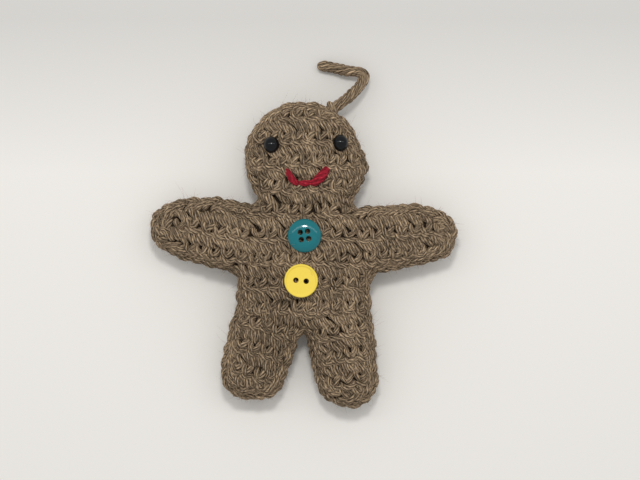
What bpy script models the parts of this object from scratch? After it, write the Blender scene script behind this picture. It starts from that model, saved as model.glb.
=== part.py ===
"""Stuffed crochet doll in the shape of a gingerbread man, lying on its back, face up.

Metres, +Z up. +X is across the doll, +Y runs from its feet to its head, and it lies on Z = 0.
The origin is the middle of the doll's own box, without the cord on its head, at its back.

The doll is one stuffed body. On it sit two bead eyes, a mouth of three yarn stitches and two
buttons, each in its own seat in the body, and a short twisted cord comes out of its head.
"""

import math
from collections import namedtuple

import bmesh
import bpy
from mathutils import Matrix, Vector
from mathutils.bvhtree import BVHTree

MM = 0.001

# ---- driving dimensions, in millimetres ---------------------------------------------------

GAP = 0.3  # between pieces that touch
AXIS = 12.5  # height of the middle of the head and of the torso
SETTLED = 0.25  # how much rounding the joints between the lumps takes off all round
VOXEL = 1.0  # mesh size while the lumps are joined
ROUNDING_STEPS = 14
LUMP_SIDES = 32
LUMP_RINGS = 20
BODY_TRIANGLES = 4300

EYE_WIDTH = 6.3
EYE_HEIGHT = 6.8
EYE_SUNK = 0.9  # how far the bead's middle lies under the surface
EYE_SIDES = 20
EYE_RINGS = 12
EYES = {"eye_left": (-13.4, 46.1), "eye_right": (15.4, 46.9)}

SEAT_REACH = 0.3  # half size of the patch that sets a button's tilt, in diameters
SEAT_LEAN = 0.2  # share of the wool's slope that a button follows
BUTTON_LIFT = 0.5  # how far a button's back stands over the wool under its middle
BUTTON_SIDES = 36
HOLE_SIDES = 12
CUTTER_REACH = 6.0  # how far cutters run past a button

STITCH_SIDES = 8
STITCH_RINGS = 11
STITCH_DIP = 1.1  # how far the ends of a stitch go down into the body
STITCH_SUNK = 0.35  # share of its thickness that a stitch lies in the surface

CORD_DIAMETER = 4.6
CORD_SOCKET = 1.6  # depth of the socket in the head that the cord comes out of
CORD_POINTS = 24

# A lump of stuffing: where its middle is, and its half sizes across, along and through the doll.
Lump = namedtuple("Lump", "x y z across along thick")

# Each form is the hull of its lumps, and the body is all the forms in one skin.
FORMS = {
    "head": [
        Lump(-0.3, 40.8, AXIS, 24.8, 23.9, 13.5),
        Lump(17.8, 37.0, AXIS, 9.2, 9.2, 8.5),
        Lump(1.0, 31.6, AXIS, 23.5, 15.1, 12.5),
    ],
    "torso": [
        Lump(0.1, -2.9, AXIS, 23.1, 25.2, 13.5),
        Lump(-11.2, 15.6, AXIS, 10.5, 10.5, 10.0),
        Lump(11.9, 15.2, AXIS, 10.5, 10.5, 10.0),
        Lump(-17.5, -8.3, AXIS, 10.1, 10.1, 10.0),
        Lump(17.8, -8.3, AXIS, 10.1, 10.1, 10.0),
        Lump(-17.5, -21.3, AXIS, 10.5, 10.5, 10.0),
        Lump(17.8, -21.3, AXIS, 10.5, 10.5, 10.0),
    ],
    "arm_left": [
        Lump(-53.6, 11.4, 10.6, 11.1, 11.1, 8.5),
        Lump(-46.9, 10.8, 10.9, 13.4, 13.4, 9.3),
        Lump(-37.2, 10.0, 11.6, 14.3, 14.3, 9.8),
        Lump(-26.7, 7.2, AXIS, 14.7, 14.7, 10.5),
    ],
    "arm_right": [
        Lump(53.3, 8.5, 10.6, 11.5, 11.5, 8.5),
        Lump(46.8, 8.5, 10.9, 13.2, 13.2, 9.3),
        Lump(27.9, 6.4, AXIS, 14.1, 14.1, 10.5),
    ],
    "leg_left": [
        Lump(-16.2, -31.4, 12.0, 14.7, 14.7, 11.0),
        Lump(-23.8, -49.5, 9.4, 11.3, 11.3, 9.5),
        Lump(-18.5, -49.9, 9.4, 11.3, 11.3, 9.5),
    ],
    "leg_right": [
        Lump(15.3, -31.4, 12.0, 14.3, 14.3, 11.0),
        Lump(16.7, -51.6, 9.4, 11.8, 11.8, 9.5),
        Lump(19.7, -53.0, 9.4, 11.8, 11.8, 9.5),
    ],
}

# A button: where it sits, its diameter, its profile from the middle of its top to the middle of
# its back as (radius, height), and its round holes on a rectangle turned by an angle.
Button = namedtuple("Button", "x y diameter profile hole_diameter spacing turn")

BUTTONS = {
    "button_top": Button(
        0.4, 8.2, 14.0,
        [(0.0, 2.8), (2.3, 2.85), (3.1, 3.0), (4.2, 2.85), (5.2, 2.4), (6.1, 1.8), (6.7, 1.3),
         (7.0, 0.9), (6.8, 0.4), (6.0, 0.1), (4.8, 0.0), (0.0, 0.0)],
        2.2, (3.1, 3.1), math.radians(8.0),
    ),
    "button_bottom": Button(
        -1.0, -10.5, 14.0,
        [(0.0, 1.8), (5.9, 1.8), (6.2, 2.1), (6.6, 2.2), (6.9, 2.0), (7.0, 1.6), (6.9, 0.7),
         (6.3, 0.2), (5.2, 0.0), (0.0, 0.0)],
        2.3, (4.3, 0.0), math.radians(-5.5),
    ),
}

# A mouth stitch: its two ends on the face, its thickness in the middle, and how far its middle
# bows down the face.
Stitch = namedtuple("Stitch", "start end thickness bow")

STITCHES = {
    "mouth_left": Stitch((-7.0, 36.4), (-2.8, 30.4), 2.5, 0.7),
    "mouth_middle": Stitch((-1.2, 30.3), (3.0, 30.6), 2.2, 0.1),
    "mouth_right": Stitch((4.9, 30.6), (10.0, 36.6), 3.5, 0.6),
}

# The cord's route from its socket: out of the head, down to the surface and back over its tip.
ROUTE = [
    (10.6, 60.6, 12.4),
    (13.4, 62.4, 12.3),
    (16.3, 64.4, 11.9),
    (19.2, 66.7, 11.0),
    (22.0, 69.4, 9.8),
    (24.3, 72.2, 8.4),
    (25.4, 74.9, 7.2),
    (24.3, 77.0, 6.2),
    (21.2, 77.5, 5.2),
    (17.4, 78.0, 4.3),
    (13.8, 78.9, 3.5),
    (10.2, 79.6, 2.9),
    (6.6, 80.1, 2.6),
]

COLOURS = {
    "wool": ((0.235, 0.172, 0.112), 0.95),
    "teal": ((0.012, 0.205, 0.225), 0.12),
    "yellow": ((0.86, 0.63, 0.075), 0.55),
    "red": ((0.36, 0.012, 0.022), 0.85),
    "black": ((0.012, 0.012, 0.014), 0.08),
}


# ---- tools ---------------------------------------------------------------------------------


def clear_scene():
    """Removes every object that the file opened with."""
    for thing in list(bpy.data.objects):
        bpy.data.objects.remove(thing)


def material(name):
    """Makes the plain material of one finish."""
    colour, roughness = COLOURS[name]
    made = bpy.data.materials.new(name)
    made.use_nodes = True
    shader = made.node_tree.nodes["Principled BSDF"]
    shader.inputs["Base Color"].default_value = (*colour, 1.0)
    shader.inputs["Roughness"].default_value = roughness
    shader.inputs["Metallic"].default_value = 0.0
    return made


def add_object(name, mesh, finish=None):
    """Links a mesh to the scene as an object, shaded smooth except at real edges."""
    thing = bpy.data.objects.new(name, mesh)
    bpy.context.collection.objects.link(thing)
    mesh.shade_smooth()
    mesh.set_sharp_from_angle(angle=math.radians(40.0))
    if finish:
        mesh.materials.append(finish)
    return thing


def mesh_from(bm, name):
    """Turns a bmesh into a mesh and frees it."""
    mesh = bpy.data.meshes.new(name)
    bm.to_mesh(mesh)
    bm.free()
    return mesh


def evaluated_mesh(thing):
    """The mesh of an object as its modifiers leave it."""
    depsgraph = bpy.context.evaluated_depsgraph_get()
    return bpy.data.meshes.new_from_object(thing.evaluated_get(depsgraph))


def settle(thing):
    """Applies an object's modifiers."""
    old = thing.data
    thing.data = evaluated_mesh(thing)
    thing.modifiers.clear()
    bpy.data.meshes.remove(old)


def cut(thing, cutter_mesh):
    """Takes a closed shape out of an object."""
    cutter = add_object("cutter", cutter_mesh)
    cutter.hide_render = True
    cutter.display_type = "WIRE"
    modifier = thing.modifiers.new("cut", "BOOLEAN")
    modifier.operation = "DIFFERENCE"
    modifier.solver = "EXACT"
    modifier.object = cutter
    settle(thing)
    bpy.data.objects.remove(cutter)


def tube_mesh(name, points, radii, sides):
    """A closed tube along points, with its own radius at each of them."""
    bm = bmesh.new()
    rings = []
    for i, point in enumerate(points):
        ahead = points[min(i + 1, len(points) - 1)] - points[max(i - 1, 0)]
        turn = ahead.to_track_quat("Z", "X").to_matrix()
        ring = []
        for k in range(sides):
            angle = math.tau * k / sides
            offset = turn @ Vector((math.cos(angle), math.sin(angle), 0.0)) * radii[i]
            ring.append(bm.verts.new(point + offset))
        rings.append(ring)
    for lower, upper in zip(rings, rings[1:]):
        for k in range(sides):
            after = (k + 1) % sides
            bm.faces.new((lower[k], lower[after], upper[after], upper[k]))
    bm.faces.new(reversed(rings[0]))
    bm.faces.new(rings[-1])
    return mesh_from(bm, name)


# ---- the stuffed body ----------------------------------------------------------------------


def add_form(bm, lumps):
    """Adds the hull of a form's lumps to the bmesh."""
    corners = []
    for lump in lumps:
        size = [(half + SETTLED) * MM for half in (lump.across, lump.along, lump.thick)]
        place = Vector((lump.x, lump.y, lump.z)) * MM
        made = bmesh.ops.create_uvsphere(
            bm, u_segments=LUMP_SIDES, v_segments=LUMP_RINGS, radius=1.0,
            matrix=Matrix.LocRotScale(place, None, Vector(size)),
        )
        corners += made["verts"]
    hull = bmesh.ops.convex_hull(bm, input=corners)
    inside = [v for v in hull["geom_interior"] if isinstance(v, bmesh.types.BMVert)]
    bmesh.ops.delete(bm, geom=inside)


def form_mesh(name, lumps):
    """The mesh of one form alone."""
    bm = bmesh.new()
    add_form(bm, lumps)
    return mesh_from(bm, name)


def make_body(finish):
    """Joins the forms into one stuffed skin with rounded joints and a flat spot to lie on."""
    bm = bmesh.new()
    for name, lumps in FORMS.items():
        bm.from_mesh(form_mesh(name, lumps))
    body = add_object("body", mesh_from(bm, "body"))
    join = body.modifiers.new("join", "REMESH")
    join.mode = "VOXEL"
    join.voxel_size = VOXEL * MM
    rounding = body.modifiers.new("rounding", "SMOOTH")
    rounding.factor = 0.5
    rounding.iterations = ROUNDING_STEPS
    settle(body)
    thin = body.modifiers.new("thin", "DECIMATE")
    thin.ratio = BODY_TRIANGLES / (2.0 * len(body.data.polygons))
    settle(body)
    centre_on_origin(body)
    cut(body, below_the_surface())
    body.data.materials.append(finish)
    return body


def centre_on_origin(body):
    """Moves the body's box to the middle of X and Y, and leaves its height."""
    xs = [v.co.x for v in body.data.vertices]
    ys = [v.co.y for v in body.data.vertices]
    middle = Vector((min(xs) + max(xs), min(ys) + max(ys), 0.0)) / 2.0
    body.data.transform(Matrix.Translation(-middle))


def below_the_surface():
    """A block under Z = 0, wider than the doll."""
    bm = bmesh.new()
    block = Matrix.LocRotScale(Vector((0.0, 0.0, -0.05)), None, Vector((0.3, 0.3, 0.1)))
    bmesh.ops.create_cube(bm, size=1.0, matrix=block)
    return mesh_from(bm, "below")


class Surface:
    """Answers where the front of the body is over a point of its outline."""

    def __init__(self, body):
        self.tree = BVHTree.FromObject(body, bpy.context.evaluated_depsgraph_get())

    def point(self, x, y):
        """The point on the front over x, y in millimetres, in metres."""
        return self.tree.ray_cast(Vector((x * MM, y * MM, 0.1)), Vector((0.0, 0.0, -1.0)))[0]

    def tilt(self, x, y, reach):
        """The front's direction over x, y, as the mean over a square of that half size."""
        steps = (-1.0, 1.0)
        across = sum((self.point(x + reach, y + s * reach) - self.point(x - reach, y + s * reach)
                      for s in steps), Vector())
        along = sum((self.point(x + s * reach, y + reach) - self.point(x + s * reach, y - reach)
                     for s in steps), Vector())
        return across.cross(along).normalized()


# ---- eyes ----------------------------------------------------------------------------------


def bead_mesh(name, place, grow):
    """A bead's mesh, grown by some millimetres."""
    bm = bmesh.new()
    half = Vector((EYE_WIDTH, EYE_HEIGHT, EYE_WIDTH)) / 2.0 + Vector((grow, grow, grow))
    bmesh.ops.create_uvsphere(
        bm, u_segments=EYE_SIDES, v_segments=EYE_RINGS, radius=1.0,
        matrix=Matrix.LocRotScale(place, None, half * MM),
    )
    return mesh_from(bm, name)


def make_eyes(body, surface, finish):
    """Sets both bead eyes into sockets in the head."""
    for name, (x, y) in EYES.items():
        place = surface.point(x, y) - Vector((0.0, 0.0, EYE_SUNK * MM))
        cut(body, bead_mesh("socket", place, GAP))
        add_object(name, bead_mesh(name, place, 0.0), finish)


# ---- buttons -------------------------------------------------------------------------------


def turned_mesh(name, profile, sides):
    """Turns a profile of (radius, height), top to bottom, round the Z axis."""
    bm = bmesh.new()
    line = [bm.verts.new(Vector((r, 0.0, z)) * MM) for r, z in profile]
    edges = [bm.edges.new(pair) for pair in zip(line, line[1:])]
    bmesh.ops.spin(
        bm, geom=line + edges, cent=(0.0, 0.0, 0.0), axis=(0.0, 0.0, 1.0),
        angle=math.tau, steps=sides, use_merge=True,
    )
    bmesh.ops.remove_doubles(bm, verts=bm.verts, dist=0.00001)
    bmesh.ops.recalc_face_normals(bm, faces=bm.faces)
    return mesh_from(bm, name)


def plug_profile(radius, top, bottom):
    """The profile of a plain round plug."""
    return [(0.0, top), (radius, top), (radius, bottom), (0.0, bottom)]


def seat_of(button, surface):
    """Where a button's back lies and which way it faces."""
    up = Vector((0.0, 0.0, 1.0))
    slope = surface.tilt(button.x, button.y, button.diameter * SEAT_REACH)
    facing = up.lerp(slope, SEAT_LEAN).normalized()
    turn = up.rotation_difference(facing).to_matrix().to_4x4()
    spin = Matrix.Rotation(button.turn, 4, "Z")
    place = surface.point(button.x, button.y) + facing * (BUTTON_LIFT - GAP) * MM
    return Matrix.Translation(place) @ turn @ spin


def make_button(name, button, body, surface, finish):
    """Turns a button, drills its holes and seats it flat on the body."""
    seat = seat_of(button, surface)
    clearance = button.diameter / 2.0 + GAP
    recess = turned_mesh("recess", plug_profile(clearance, CUTTER_REACH, -GAP), BUTTON_SIDES)
    recess.transform(seat)
    cut(body, recess)
    made = add_object(name, turned_mesh(name, button.profile, BUTTON_SIDES))
    for x, y in hole_places(button):
        drill = plug_profile(button.hole_diameter / 2.0, CUTTER_REACH, -CUTTER_REACH)
        bit = turned_mesh("bit", drill, HOLE_SIDES)
        off_seam = Matrix.Rotation(math.pi / HOLE_SIDES * 0.7, 4, "Z")
        bit.transform(Matrix.Translation(Vector((x, y, 0.0)) * MM) @ off_seam)
        cut(made, bit)
    made.data.materials.append(finish)
    made.matrix_world = seat


def hole_places(button):
    """The holes' places on the button: two on a line or four on a rectangle."""
    across, along = button.spacing
    rows = (-0.5, 0.5) if along else (0.0,)
    return [(side * across, row * along) for side in (-0.5, 0.5) for row in rows]


# ---- mouth ---------------------------------------------------------------------------------


def stitch_mesh(name, stitch, surface, grow):
    """A stitch's spindle over the face, grown by some millimetres."""
    start, end = Vector(stitch.start), Vector(stitch.end)
    points, radii = [], []
    for i in range(STITCH_RINGS):
        t = i / (STITCH_RINGS - 1)
        swell = math.sin(math.pi * t)
        flat = start.lerp(end, t) - Vector((0.0, stitch.bow * swell))
        radius = stitch.thickness / 2.0 * (0.45 + 0.55 * swell ** 0.7)
        lift = radius * (1.0 - 2.0 * STITCH_SUNK) - STITCH_DIP * (1.0 - swell ** 0.5)
        points.append(surface.point(flat.x, flat.y) + Vector((0.0, 0.0, lift * MM)))
        radii.append((radius + grow) * MM)
    if grow:
        points[0] += (points[0] - points[1]).normalized() * grow * MM
        points[-1] += (points[-1] - points[-2]).normalized() * grow * MM
    return tube_mesh(name, points, radii, STITCH_SIDES)


def make_mouth(body, surface, finish):
    """Lays the three stitches of the mouth, each in its own groove in the face."""
    for name, stitch in STITCHES.items():
        cut(body, stitch_mesh("groove", stitch, surface, GAP))
        add_object(name, stitch_mesh(name, stitch, surface, 0.0), finish)


# ---- cord ----------------------------------------------------------------------------------


def smooth_route(route, count):
    """Points at even steps along a smooth curve through the route's points, in metres."""
    knots = [Vector(p) * MM for p in route]
    padded = [2 * knots[0] - knots[1], *knots, 2 * knots[-1] - knots[-2]]
    dense = []
    for a, b, c, d in zip(padded, padded[1:], padded[2:], padded[3:]):
        for k in range(16):
            t = k / 16
            dense.append(0.5 * (2 * b + (c - a) * t + (2 * a - 5 * b + 4 * c - d) * t * t
                                + (3 * b - a - 3 * c + d) * t ** 3))
    dense.append(knots[-1])
    lengths = [0.0]
    for p, q in zip(dense, dense[1:]):
        lengths.append(lengths[-1] + (q - p).length)
    points = []
    for i in range(count):
        want = lengths[-1] * i / (count - 1)
        k = max(j for j in range(len(dense) - 1) if lengths[j] <= want + 1e-12)
        share = (want - lengths[k]) / (lengths[k + 1] - lengths[k])
        points.append(dense[k].lerp(dense[k + 1], share))
    return points


def make_cord(body, finish):
    """Runs the cord out of a socket in the head."""
    points = smooth_route(ROUTE, CORD_POINTS)
    out = (points[1] - points[0]).normalized()
    radius = CORD_DIAMETER / 2.0 * MM
    socket = [points[0] - out * GAP * MM, points[0] + out * 4.0 * CORD_SOCKET * MM]
    cut(body, tube_mesh("socket", socket, [radius + GAP * MM] * 2, 16))
    curve = bpy.data.curves.new("head_cord", "CURVE")
    curve.dimensions = "3D"
    curve.bevel_depth = radius
    curve.bevel_resolution = 3
    curve.use_fill_caps = True
    spline = curve.splines.new("POLY")
    spline.points.add(len(points) - 1)
    for knot, point in zip(spline.points, points):
        knot.co = (*point, 1.0)
    curve.materials.append(finish)
    bpy.context.collection.objects.link(bpy.data.objects.new("head_cord", curve))


def main():
    """Builds the doll."""
    clear_scene()
    finishes = {name: material(name) for name in COLOURS}
    body = make_body(finishes["wool"])
    surface = Surface(body)
    make_eyes(body, surface, finishes["black"])
    make_mouth(body, surface, finishes["red"])
    for name, finish in (("button_top", "teal"), ("button_bottom", "yellow")):
        make_button(name, BUTTONS[name], body, surface, finishes[finish])
    make_cord(body, finishes["wool"])


main()
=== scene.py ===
"""Looks of a stuffed crochet doll in the shape of a gingerbread man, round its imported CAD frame.

Every stitch of the crochet is yarn: a plied tube that runs over the doll's skin. The script reads
the frame's solids for places, lays rows of stitches on the front, the back and round the edge,
and dresses the beads, the buttons, the mouth and the cord on the head.
"""

import logging
import math
from dataclasses import dataclass, field
from enum import Enum
from typing import Any, Callable, Optional, Sequence

import bmesh
import bpy
import numpy as np
from mathutils import Matrix, Vector
from mathutils.bvhtree import BVHTree


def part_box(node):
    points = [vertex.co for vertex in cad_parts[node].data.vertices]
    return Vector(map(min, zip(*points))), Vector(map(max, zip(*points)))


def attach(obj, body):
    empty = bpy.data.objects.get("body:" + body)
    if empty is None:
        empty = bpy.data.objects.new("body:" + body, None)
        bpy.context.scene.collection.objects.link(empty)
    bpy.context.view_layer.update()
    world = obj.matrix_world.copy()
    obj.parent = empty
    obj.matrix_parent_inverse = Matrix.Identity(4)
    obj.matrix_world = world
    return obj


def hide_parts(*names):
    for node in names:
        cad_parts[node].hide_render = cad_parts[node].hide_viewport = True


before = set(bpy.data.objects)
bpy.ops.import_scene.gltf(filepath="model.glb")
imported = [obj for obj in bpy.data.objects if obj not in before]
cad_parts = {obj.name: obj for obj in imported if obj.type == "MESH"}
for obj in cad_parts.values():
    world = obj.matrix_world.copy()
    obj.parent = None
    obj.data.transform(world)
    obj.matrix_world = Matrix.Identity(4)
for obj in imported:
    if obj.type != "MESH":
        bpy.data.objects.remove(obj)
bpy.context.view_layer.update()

logging.basicConfig(level=logging.INFO, format="%(message)s")
LOG = logging.getLogger("doll")

MM = 0.001
BODY = "root"
BAKE_MAP = "OFBake"  # the one UV map of the yarn: along and round each strand
SEED = 7

Array = np.ndarray


# ---- shader building -----------------------------------------------------------------------


class Socket:
    """A node's output that can be used in Python arithmetic."""

    def __init__(self, tree: "Shader", out: bpy.types.NodeSocket) -> None:
        """Wraps an output of a node in a shader."""
        self.tree = tree
        self.out = out

    def _math(self, operation: str, *values: Any) -> "Socket":
        """Adds a Math node on these values."""
        return self.tree.node("ShaderNodeMath", {"operation": operation}, dict(enumerate(values)))

    def __add__(self, other: Any) -> "Socket":
        """Sum."""
        return self._math("ADD", self, other)

    def __sub__(self, other: Any) -> "Socket":
        """Difference."""
        return self._math("SUBTRACT", self, other)

    def __rsub__(self, other: Any) -> "Socket":
        """Difference from a number."""
        return self._math("SUBTRACT", other, self)

    def __mul__(self, other: Any) -> "Socket":
        """Product."""
        return self._math("MULTIPLY", self, other)

    def __pow__(self, other: Any) -> "Socket":
        """Power."""
        return self._math("POWER", self, other)

    __radd__ = __add__
    __rmul__ = __mul__

    def cosine(self) -> "Socket":
        """Cosine of an angle in radians."""
        return self._math("COSINE", self)

    def clamped(self) -> "Socket":
        """The value kept between 0 and 1."""
        return self._math("MINIMUM", self._math("MAXIMUM", self, 0.0), 1.0)


class Shader:
    """A material's node tree, with its Principled shader."""

    def __init__(self, name: str) -> None:
        """Makes a new material of this name.

        Args:
            name: the material's name.
        """
        self.material = bpy.data.materials.new(name)
        self.material.use_nodes = True
        self.nodes = self.material.node_tree.nodes
        self.links = self.material.node_tree.links
        self.principled = self.nodes["Principled BSDF"]

    def node(self, kind: str, settings: Optional[dict] = None, values: Optional[dict] = None,
             out: Any = 0) -> Socket:
        """Adds a node.

        Args:
            kind: the node's type.
            settings: its properties, which are set first. A ramp's stops go under "stops".
            values: values or Sockets for its inputs, by name or number.
            out: the output to return, by name or number.

        Returns:
            The output as a Socket.
        """
        made = self.nodes.new(kind)
        for key, value in (settings or {}).items():
            if key == "stops":
                self._set_stops(made.color_ramp, value)
            else:
                setattr(made, key, value)
        for key, value in (values or {}).items():
            self.feed(made.inputs[key], value)
        return Socket(self, made.outputs[out])

    @staticmethod
    def _set_stops(ramp: bpy.types.ColorRamp, stops: Sequence[tuple]) -> None:
        """Sets a ramp's stops from (place, colour) pairs.

        Args:
            ramp: the ramp.
            stops: the place and the colour of each stop.
        """
        while len(ramp.elements) < len(stops):
            ramp.elements.new(0.5)
        for element, (place, colour) in zip(ramp.elements, stops):
            element.position = place
            element.color = (*colour, 1.0)

    def feed(self, socket: bpy.types.NodeSocket, value: Any) -> None:
        """Links a Socket to an input, or sets its value.

        Args:
            socket: the input.
            value: a Socket, or a plain value.
        """
        if isinstance(value, Socket):
            self.links.new(value.out, socket)
        elif isinstance(value, tuple) and socket.type == "RGBA" and len(value) == 3:
            socket.default_value = (*value, 1.0)
        else:
            socket.default_value = value

    def surface(self, **values: Any) -> None:
        """Feeds the Principled shader's inputs, named with _ for a space."""
        for key, value in values.items():
            self.feed(self.principled.inputs[key.replace("_", " ")], value)

    def mixed(self, factor: Any, low: Any, high: Any) -> Socket:
        """A colour between two colours.

        Args:
            factor: the share of the second colour.
            low: the first colour.
            high: the second colour.

        Returns:
            The colour as a Socket.
        """
        made = self.node("ShaderNodeMix", {"data_type": "RGBA"}, out=2)
        node = made.out.node
        self.feed(node.inputs[0], factor)
        self.feed(node.inputs[6], low)
        self.feed(node.inputs[7], high)
        return made

    def noise(self, vector: Socket, scale: float, detail: float = 2.0,
              roughness: float = 0.5) -> Socket:
        """A noise value over a vector.

        Args:
            vector: the places it is read at.
            scale: cells to a unit of the vector.
            detail: how many finer layers it has.
            roughness: how strong the finer layers are.

        Returns:
            The value, about 0.5 in the middle.
        """
        return self.node("ShaderNodeTexNoise", {"noise_dimensions": "3D"},
                         {"Vector": vector, "Scale": scale, "Detail": detail,
                          "Roughness": roughness})

    def scaled(self, vector: Socket, by: tuple) -> Socket:
        """A vector times another, axis by axis."""
        return self.node("ShaderNodeVectorMath", {"operation": "MULTIPLY"}, {0: vector, 1: by})

    def place(self) -> Socket:
        """The point on the object, in metres."""
        return self.node("ShaderNodeTexCoord", out="Object")

    def bump(self, height: Socket, distance: float, strength: float) -> Socket:
        """A normal bent by a height."""
        return self.node("ShaderNodeBump", None,
                         {"Height": height, "Distance": distance, "Strength": strength})


@dataclass(frozen=True)
class YarnFinish:
    """Plied yarn: near-black painted shade between its plies and in its pits, a painted highlight on
    each ply's crest, and light fibres along them.
    """

    name: str
    dark: tuple
    light: tuple
    patches: int = 8  # the yarn's map is a square of this many patches each way
    plies: int = 6
    fibres: float = 0.56  # share of the colour that the fibres set
    painted_ply_light: float = 0.36  # share of painted highlight on each ply's crest and painted shade in its valleys
    tone: float = 0.13  # share that changes from strand to strand
    stray: float = 3.4  # how far the painted crest highlight wanders round its strand, in radians of its ply
    contrast: float = 3.2
    fall: float = 2.1  # over 1, more of the yarn takes the dark colour, which is painted shade
    sheen: float = 0.3
    fibre_relief: float = 0.00022
    streaks: tuple = (20.0, 7.5)  # fibre streaks round and along a strand

    def make(self) -> bpy.types.Material:
        """Builds the material.

        Returns:
            The material.
        """
        shader = Shader(self.name)
        uv = shader.node("ShaderNodeUVMap", {"uv_map": BAKE_MAP})
        across_scale, along_scale = (self.patches * count for count in self.streaks)
        lengthways = shader.scaled(uv, (across_scale, along_scale, 1.0))
        fibres = shader.noise(lengthways, 1.0, 3.0, 0.62)
        across = shader.node("ShaderNodeSeparateXYZ", None, {0: uv})
        slips = shader.noise(shader.scaled(uv, (self.patches * 3.0, self.patches * 6.0, 1.0)), 1.0)
        # Painted highlight on each ply's crest and painted shade in the valleys between the plies,
        # from the place round the strand.
        phase = across * (math.tau * self.plies * self.patches) + (slips - 0.5) * self.stray
        painted_ply_light = phase.cosine() * 0.5 + 0.5
        cell = shader.node("ShaderNodeVectorMath", {"operation": "FLOOR"},
                           {0: shader.scaled(uv, (self.patches, self.patches, 1.0))})
        tone = shader.node("ShaderNodeTexWhiteNoise", {"noise_dimensions": "2D"},
                           {"Vector": cell})
        # The fibre streaks run from the near-black painted shade to the light colour: partly the
        # yarn's own streaky tone, partly painted highlight and shade.
        fibre = ((fibres - 0.5) * self.contrast + 0.5).clamped()
        share = fibre * self.fibres + painted_ply_light * self.painted_ply_light + tone * self.tone
        light = share.clamped() ** self.fall
        shader.surface(
            Base_Color=shader.mixed(light, self.dark, self.light),
            Roughness=0.92,
            Sheen_Weight=self.sheen,
            Sheen_Roughness=0.45,
            Sheen_Tint=self.light,
            Specular_IOR_Level=0.2,
            Normal=shader.bump(fibres, self.fibre_relief, 0.8),
        )
        return shader.material


@dataclass(frozen=True)
class ShadeShellFinish:
    """The dense felted inside of the crochet, seen only between the stitches, coloured near black as
    painted shade in the gaps.
    """

    name: str
    dark: tuple
    light: tuple

    def make(self) -> bpy.types.Material:
        """Builds the material.

        Returns:
            The material.
        """
        shader = Shader(self.name)
        blotch = shader.noise(shader.place(), 900.0, 3.0, 0.6)
        shader.surface(
            Base_Color=shader.mixed(blotch, self.dark, self.light),
            Roughness=1.0,
            Specular_IOR_Level=0.1,
            Normal=shader.bump(blotch, 0.0003, 1.0),
        )
        return shader.material


@dataclass(frozen=True)
class PlasticFinish:
    """Moulded plastic: slight cloudiness in its colour, and fine marks on its polish."""

    name: str
    dark: tuple
    light: tuple
    roughness: float
    roughness_change: float = 0.05
    grain: float = 700.0
    relief: float = 0.0
    ior: float = 1.5

    def make(self) -> bpy.types.Material:
        """Builds the material.

        Returns:
            The material.
        """
        shader = Shader(self.name)
        place = shader.place()
        cloud = shader.noise(place, self.grain, 3.0, 0.6)
        marks = shader.noise(shader.scaled(place, (1.0, 3.0, 1.0)), self.grain * 3.0, 2.0)
        values = {
            "Base_Color": shader.mixed(cloud, self.dark, self.light),
            "Roughness": marks * self.roughness_change + self.roughness,
            "IOR": self.ior,
        }
        if self.relief:
            values["Normal"] = shader.bump(marks, self.relief, 0.6)
        shader.surface(**values)
        return shader.material


@dataclass(frozen=True)
class FloorFinish:
    """A plain pale card that the doll lies on, with painted shade that darkens it beyond its head.
    """

    name: str
    near: tuple
    far: tuple
    start: float = 0.035  # where the painted shade on the card starts, up from the middle
    reach: float = 0.065  # how far on the painted shade is darkest

    def make(self) -> bpy.types.Material:
        """Builds the material.

        Returns:
            The material.
        """
        shader = Shader(self.name)
        across = shader.node("ShaderNodeSeparateXYZ", None, {0: shader.place()}, out="Y")
        share = ((across - self.start) * (1.0 / self.reach)).clamped()
        shader.surface(Base_Color=shader.mixed(share, self.near, self.far), Roughness=0.9,
                       Specular_IOR_Level=0.1)
        return shader.material


# The wool's near-black dark colour is painted shade in its pits and between its plies.
WOOL = YarnFinish("brown_wool", dark=(0.009, 0.0052, 0.0027), light=(0.73, 0.527, 0.332), sheen=0.14)
FIBRE = YarnFinish("loose_fibre", dark=(0.22, 0.155, 0.095), light=(0.62, 0.455, 0.30), sheen=0.2)
RED_YARN = YarnFinish("red_yarn", dark=(0.13, 0.004, 0.009), light=(0.68, 0.036, 0.066), sheen=0.08)
# Near-black inside: painted shade seen in the gaps between the stitches.
SHADE_SHELL = ShadeShellFinish("wool_inside_shade", dark=(0.018, 0.0115, 0.0075), light=(0.05, 0.034, 0.021))
TEAL = PlasticFinish("teal_plastic", (0.002, 0.135, 0.157), (0.004, 0.17, 0.193), 0.05,
                     ior=1.45)
YELLOW = PlasticFinish("yellow_plastic", (0.88, 0.645, 0.062), (0.93, 0.70, 0.076), 0.42,
                       roughness_change=0.12, grain=1500.0, relief=0.00002)
BLACK = PlasticFinish("black_bead", (0.002, 0.002, 0.0026), (0.004, 0.004, 0.005), 0.03,
                      roughness_change=0.02, ior=1.35)
# far is the card's colour under painted shade beyond the doll's head.
CARD = FloorFinish("pale_card", near=(0.87, 0.839, 0.79), far=(0.665, 0.643, 0.609))


# ---- yarn ----------------------------------------------------------------------------------


@dataclass
class Strands:
    """Strands of yarn of one kind: their paths, their thickness and their surface's facing."""

    paths: Array  # strand, ring, xyz
    radii: Array  # strand, ring
    facing: Array  # strand, xyz

    def count(self) -> int:
        """How many strands there are."""
        return len(self.paths)


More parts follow.
